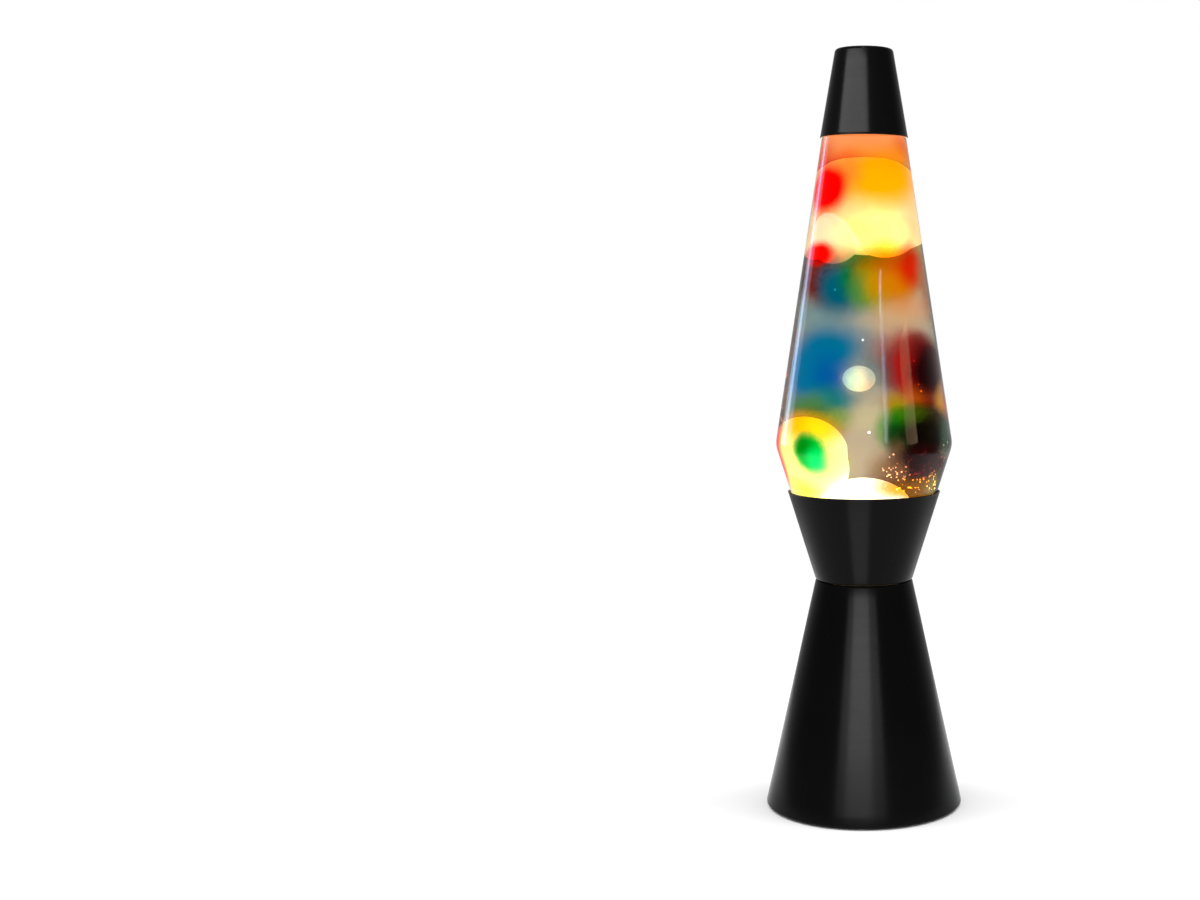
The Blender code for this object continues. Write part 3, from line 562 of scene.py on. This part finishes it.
def wax(name, colour, foot, top, glow_top, glow_foot, spots=()):
    """Wax with the bulb's light painted on as its own glow. This painted glow runs from glow_foot at the
    height foot to glow_top at the height top, in millimetres. Each spot is a (centre, size, colour) where
    the painted glow is tinted."""
    made = Shader(name, Roughness=0.45, Specular_IOR_Level=0.3)
    made.set("Base Color", made.mix(made.noise(60, 2), tone(240, 228, 200), tone(246, 236, 214)))
    # painted light: the glow's strength is set by height, for the bulb's light coming up from below
    rise = made.ramp(made.height(), foot * MM, top * MM, glow_foot, glow_top, "LINEAR")
    # painted shade: the underside glows brighter than the top, as if lit from below
    side = made.ramp(made.upward(), -1, 1, 1.12, 0.86, "LINEAR")
    mottle = made.ramp(made.noise(45, 3), 0.3, 0.7, 0.96, 1.04)
    for centre, size, tint in spots:
        colour = made.mix(made.spot(made.place, centre, size, 0.8), colour, tone(*tint))
    made.set("Emission Color", colour)
    made.set("Emission Strength", made.math("MULTIPLY", made.math("MULTIPLY", rise, side), mottle))
    return made.material


def metal(name, dark, light, rough, grain=400, bump=0.15):
    """Bare or plated metal with fine wear in its colour and roughness."""
    made = Shader(name, Metallic=1.0)
    cloud = made.noise(90, 3)
    fine = made.noise(grain, 3)
    made.set("Base Color", made.mix(cloud, tone(*dark), tone(*light)))
    made.set("Roughness", made.ramp(fine, 0.3, 0.7, rough - 0.06, rough + 0.08))
    made.bump(fine, bump, 0.05)
    return made.material


def moulded(name, dark, light, rough, grain=700, level=0.5):
    """Moulded plastic, rubber or ceramic with a fine texture."""
    made = Shader(name, Specular_IOR_Level=level)
    cloud = made.noise(60, 3)
    fine = made.noise(grain, 3)
    made.set("Base Color", made.mix(cloud, tone(*dark), tone(*light)))
    made.set("Roughness", made.ramp(fine, 0.3, 0.7, rough - 0.05, rough + 0.08))
    made.bump(fine, 0.2, 0.08)
    return made.material


def cap_lining():
    """The bare inside of the cap, with the glow that comes up through the bottle painted on as its own
    light.
    """
    bare = Shader("cap_lining", Roughness=0.5, Specular_IOR_Level=0.2)
    cloud = bare.noise(120, 3)
    bare.set("Base Color", bare.mix(cloud, tone(176, 170, 160), tone(200, 194, 184)))
    # painted light: emission that stands for the glow from the bottle
    bare.set("Emission Color", tone(255, 236, 214))
    bare.set("Emission Strength", bare.ramp(cloud, 0.3, 0.7, 0.86, 0.94))
    return bare.material


def frosted_bulb():
    """A bulb's satin-white glass, lit from inside."""
    made = Shader("lit_bulb", Roughness=0.35)
    made.set("Base Color", made.mix(made.noise(80, 2), tone(250, 244, 230), tone(255, 250, 240)))
    rise = made.ramp(made.height(), 0.088, 0.118, 0.5, 2.6)
    made.set("Emission Color", tone(255, 214, 150))
    made.set("Emission Strength", rise)
    return made.material


# ---------------------------------------------------------------- the pieces
def build_metal_shells(paint):
    """The top cap, the cup and the lower cone as thin painted sheet."""
    cap, cup, cone = (
        cover(sheet_shell(name, line, sheet), paint, body, "black_paint", node)
        for name, line, sheet, body, node in (
            ("cap_shell", CAP_LINE, CAP_SHEET, "top_cap", "top_cap"),
            ("cup_shell", CUP_LINE, CUP_SHEET, "base", "base_cup"),
            ("cone_shell", CONE_LINE, CONE_SHEET, "base", "base_cone"),
        )
    )
    # the cap's inner faces take the lining with its painted glow
    cap.data.materials.append(cap_lining())
    for face in cap.data.polygons:
        if face.normal.x * face.center.x + face.normal.y * face.center.y < 0:
            face.material_index = 1


def build_bottle():
    """The bottle's glass, and the liquid that fills it."""
    outer = densify(rounded(BOTTLE_LINE), 3.0)
    inner = offset(outer, BOTTLE_WALL)
    inner[-1].x = 0.0
    shell = revolved("bottle_shell", outer + inner[::-1])
    cover(shell, sprayed_glass(), "bottle", "bottle_glass", "bottle_glass")
    fill = offset(outer, BOTTLE_WALL - LIQUID_OVERLAP)
    fill = [point for point in fill if point.y < LIQUID_LEVEL]
    fill[-1].x = 0.0
    rim = fill[0].x
    top = [Vector((0.0, LIQUID_LEVEL))]
    top += [Vector((rim - inward, LIQUID_LEVEL + rise)) for inward, rise in MENISCUS]
    liquid = revolved("liquid_fill", top + fill, closed=False)
    cover(liquid, clear_liquid(), "bottle", "bottle_glass")


def inside(vert):
    """Keeps a wax vertex clear of the inside of the glass."""
    vert.co.z = max(vert.co.z, WAX_FLOOR * MM)
    limit = (bottle_radius(vert.co.z / MM) - WAX_GAP) * MM
    across = math.hypot(vert.co.x, vert.co.y)
    if across > limit:
        vert.co.x *= limit / across
        vert.co.y *= limit / across


def build_wax():
    """The five bodies of wax. Heights and radii are in millimetres."""
    mass = blobs(
        "wax_dome",
        [
            ((8.5, -7, 304), (15, 15.5, 13.8)), ((2, 8, 304), (21, 15, 13)),
            ((-6, 4, 306), (17, 16, 13)), ((-19, 3, 300), (8, 10, 11)),
        ],
        0.9, 10, inside,
        [
            (0, 342.6), (8, 342.0), (13, 340.2), (17.4, 336.6), (20.2, 331.0), (22.0, 324.0),
            (23.2, 313.0), (21.0, 304.0), (16.0, 298.0), (8.0, 295.5), (0, 295),
        ],
    )
    # painted light: each wax body's glow stands for the bulb's light coming up through the wax
    glow = wax(
        "wax_top", tone(255, 238, 190), 290, 344, 1.10, 1.45,
        [
            ((-22, -12, 321), (10, 10, 13), (255, 120, 60)),
            ((-13, -16, 301), (14, 12, 16), (255, 214, 140)),
            ((-20, -12, 304), (9, 9, 14), (255, 140, 80)),
        ],
    )
    cover(mass, glow, "bottle", "wax", "wax_top_mass")
    lobe = blobs("wax_lobe", [((-13.4, -12.5, 301.2), (12.2, 10.8, 14.0))], 0.7, 4, inside)
    glow = wax(
        "wax_lobe", tone(255, 238, 204), 286, 316, 1.36, 1.60,
        [((-18, -20, 290), (12, 12, 8), (255, 190, 150))],
    )
    cover(lobe, glow, "front_lobe", "wax", "wax_front_lobe")
    pearl = blobs("wax_pearl", [((-2.1, -10, 227.3), (6.95, 6.95, 6.75))], 0.6, 3)
    glow = wax(
        "wax_pearl", tone(255, 238, 210), 219, 234, 1.70, 1.20,
        [
            ((-6, -14, 226), (5, 6, 9), (206, 232, 204)),
            ((3, -14, 221), (6, 6, 5), (240, 206, 172)),
        ],
    )
    cover(pearl, glow, "small_blob", "wax", "wax_small_blob")
    side = blobs(
        "wax_side",
        [((-23.0, 2, 184.5), (17.4, 17, 21.7)), ((-24, -1, 181), (17, 15, 17))],
        0.9, 8, inside,
    )
    glow = wax("wax_side", tone(255, 252, 204), 166, 209, 1.3, 1.6)
    cover(side, glow, "side_blob", "wax", "wax_side_blob")
    hill = blobs(
        "wax_hill",
        [((0, -6, 159), (21, 19, 21)), ((0, 0, 150), (26, 26, 6)), ((0, 0, 156), (27, 27, 5))],
        0.9, 12, inside,
    )
    # painted light: the mound glows brightest at its top and amber at its foot, over the bulb
    glow = wax(
        "wax_hill", tone(255, 250, 236), 150, 172, 5.0, 1.4,
        [((0, 0, 146), (60, 60, 12), (255, 176, 70))],
    )
    cover(hill, glow, "bottle", "hot_wax", "wax_mound")


def build_droplets():
    """Tiny beads of wax just inside the glass: a few given one by one, and a shower low on the right."""
    chance = random.Random(DROPLET_SEED)
    shower = [
        (chance.triangular(*SHOWER_HEIGHT), chance.uniform(*SHOWER_ANGLE), chance.uniform(*SHOWER_SIZE))
        for _ in range(SHOWER_COUNT)
    ]
    specks = bmesh.new()
    for z, angle, size in DROPLETS + shower:
        away = bottle_radius(z) - BOTTLE_WALL - DROPLET_GAP - size
        turn = math.radians(angle)
        ball = bmesh.ops.create_icosphere(specks, subdivisions=2, radius=size * MM)
        centre = Vector((away * math.sin(turn), -away * math.cos(turn), z)) * MM
        bmesh.ops.translate(specks, verts=ball["verts"], vec=centre)
    mesh = bpy.data.meshes.new("wax_droplets")
    specks.to_mesh(mesh)
    specks.free()
    droplets = new_object("wax_droplets", mesh)
    # painted light: the beads glow, brightest low down
    glow = wax("wax_droplets", tone(255, 236, 214), 180, 270, 2.2, 9.0)
    cover(droplets, glow, "bottle", "wax")


def build_details(paint):
    """Finishes for the CAD nodes that show as they are, the fluted crown cap and the bulb's envelope."""
    steel = metal("plated_steel", (150, 150, 152), (196, 196, 198), 0.30)
    brass = metal("brass", (170, 120, 56), (206, 160, 84), 0.28)
    tin = metal("tinplate", (186, 182, 172), (206, 202, 194), 0.30, 260, bump=0.03)
    tungsten = metal("tungsten", (60, 58, 56), (92, 88, 84), 0.45)
    phenolic = moulded("phenolic", (26, 22, 20), (36, 31, 28), 0.35)
    plastic = moulded("black_plastic", (14, 14, 15), (22, 22, 23), 0.5)
    rubber = moulded("rubber", (20, 20, 20), (30, 30, 29), 0.8, 500, 0.3)
    ceramic = moulded("insulator", (32, 26, 24), (48, 40, 36), 0.3)
    liner = moulded("cap_liner", (196, 188, 170), (214, 208, 190), 0.6)
    bulb = frosted_bulb()
    finishes = {
        "steel": steel, "brass": brass, "tinplate": tin, "tungsten": tungsten, "phenolic": phenolic,
        "black_plastic": plastic, "rubber": rubber, "insulator": ceramic, "bulb_glass": bulb,
        "black_paint": paint,
    }
    for node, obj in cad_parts.items():
        slot = obj.data.materials[0].name if obj.data.materials else ""
        name = slot.split(".")[0]
        if name in finishes:
            dress(obj, finishes[name])
        elif node == "crown_liner":
            dress(obj, liner)

    outside = densify(rounded(CROWN_LINE), 0.6)
    crown = revolved("crown_fluted", outside + offset(outside, CROWN_SHEET)[::-1], CROWN_FLUTES * 8)
    for vert in crown.data.vertices:
        turn, across = math.atan2(vert.co.y, vert.co.x), math.hypot(vert.co.x, vert.co.y)
        if across > CROWN_FLUTE_START * MM:
            share = min(max((CROWN_LINE[2][1] - vert.co.z / MM) / CROWN_SKIRT, 0.0), 1.0)
            grow = 1 + CROWN_FLUTE * MM * share * math.cos(CROWN_FLUTES * turn) / across
            vert.co.x *= grow
            vert.co.y *= grow
    cover(crown, tin, "bottle", "tinplate", "crown_cap")
    envelope = sheet_shell("bulb_shell", BULB_LINE, BULB_WALL, 2.0)
    cover(envelope, bulb, "bulb", "bulb_glass", "bulb_glass")


# ---------------------------------------------------------------- stage, lights and camera
def build_floor():
    """A pale floor that takes the lamp's shadow and fades out into the backdrop."""
    bpy.ops.mesh.primitive_circle_add(vertices=96, radius=FLOOR_RADIUS, fill_type="NGON")
    floor = bpy.context.object
    floor.name = "floor"
    pale = Shader("floor", Roughness=0.9, Specular_IOR_Level=0.0)
    pale.set("Base Color", pale.mix(pale.noise(6, 2), tone(251, 251, 252), tone(253, 253, 254)))
    away = pale.vector("LENGTH", pale.place)
    clear = pale.node("ShaderNodeBsdfTransparent")
    fade = pale.node("ShaderNodeMixShader")
    pale.feed(fade.inputs[0], pale.ramp(away, *FLOOR_FADE))
    pale.tree.links.new(pale.surface.outputs[0], fade.inputs[1])
    pale.tree.links.new(clear.outputs[0], fade.inputs[2])
    pale.tree.links.new(fade.outputs[0], pale.tree.nodes["Material Output"].inputs[0])
    dress(floor, pale.material)


def build_world():
    """A white backdrop to the camera, a little dimmer as a light and far dimmer in reflections."""
    world = bpy.data.worlds.new("studio")
    bpy.context.scene.world = world
    world.use_nodes = True
    tree = world.node_tree
    light = tree.nodes["Background"]
    light.inputs[0].default_value = (1.0, 1.0, 1.0, 1.0)
    path = tree.nodes.new("ShaderNodeLightPath")
    where = tree.nodes.new("ShaderNodeTexCoord")
    split = tree.nodes.new("ShaderNodeSeparateXYZ")
    back = tree.nodes.new("ShaderNodeMapRange")
    back.interpolation_type = "SMOOTHSTEP"
    span = (MIRRORED_FROM, MIRRORED_TO, MIRRORED_FRONT, MIRRORED_BACK)
    for socket, value in zip(list(back.inputs)[1:5], span):
        socket.default_value = value
    seen = tree.nodes.new("ShaderNodeMapRange")
    seen.inputs["To Min"].default_value = AMBIENT
    seen.inputs["To Max"].default_value = 1.0
    tree.links.new(path.outputs["Is Camera Ray"], seen.inputs["Value"])
    mirrored = tree.nodes.new("ShaderNodeMapRange")
    tree.links.new(seen.outputs[0], mirrored.inputs["To Min"])
    seen_through = tree.nodes.new("ShaderNodeMapRange")
    seen_through.inputs["To Max"].default_value = BACKLIGHT
    tree.links.new(where.outputs["Generated"], split.inputs[0])
    tree.links.new(split.outputs["Y"], back.inputs["Value"])
    tree.links.new(back.outputs[0], mirrored.inputs["To Max"])
    tree.links.new(path.outputs["Is Glossy Ray"], mirrored.inputs["Value"])
    # a ray that has passed through glass counts as a glossy one too, so this comes last
    tree.links.new(mirrored.outputs[0], seen_through.inputs["To Min"])
    tree.links.new(path.outputs["Is Transmission Ray"], seen_through.inputs["Value"])
    tree.links.new(seen_through.outputs[0], light.inputs[1])


def build_lights():
    """The soft panel lights, standing round the lamp. Azimuth 0 is the front, and 90 is on the +X side."""
    for name, azimuth, distance, height, width, tall, power, colour, piece, aim in PANELS:
        data = bpy.data.lights.new(name, "AREA")
        data.shape = "RECTANGLE"
        data.size = width
        data.size_y = tall
        data.energy = power
        data.color = tone(*colour)[:3]
        obj = bpy.data.objects.new(name, data)
        bpy.context.scene.collection.objects.link(obj)
        turn = math.radians(azimuth)
        obj.location = (distance * math.sin(turn), -distance * math.cos(turn), height)
        ahead = Vector((0, 0, height if aim is None else aim)) - obj.location
        obj.rotation_euler = ahead.to_track_quat("-Z", "Y").to_euler()
        obj.visible_camera = False
        obj.visible_transmission = False
        lit = bpy.data.collections.new(f"lit_by_{name}")
        lit.objects.link(bpy.data.objects[piece])
        obj.light_linking.receiver_collection = lit


def build_camera():
    """The camera of the photograph. It looks down a little, where the photograph's was shifted."""
    data = bpy.data.cameras.new("camera")
    data.sensor_width = 36.0
    data.lens = CAMERA_LENS
    data.shift_x, data.shift_y = CAMERA_SHIFT
    camera = bpy.data.objects.new("camera", data)
    bpy.context.scene.collection.objects.link(camera)
    camera.location = CAMERA_PLACE
    camera.rotation_euler = (math.radians(90) - CAMERA_DOWN, 0.0, 0.0)
    bpy.context.scene.camera = camera


bpy.context.scene.view_settings.view_transform = "Standard"
black_paint = satin_paint()
build_metal_shells(black_paint)
build_bottle()
build_wax()
build_droplets()
build_details(black_paint)
build_floor()
build_world()
build_lights()
build_camera()
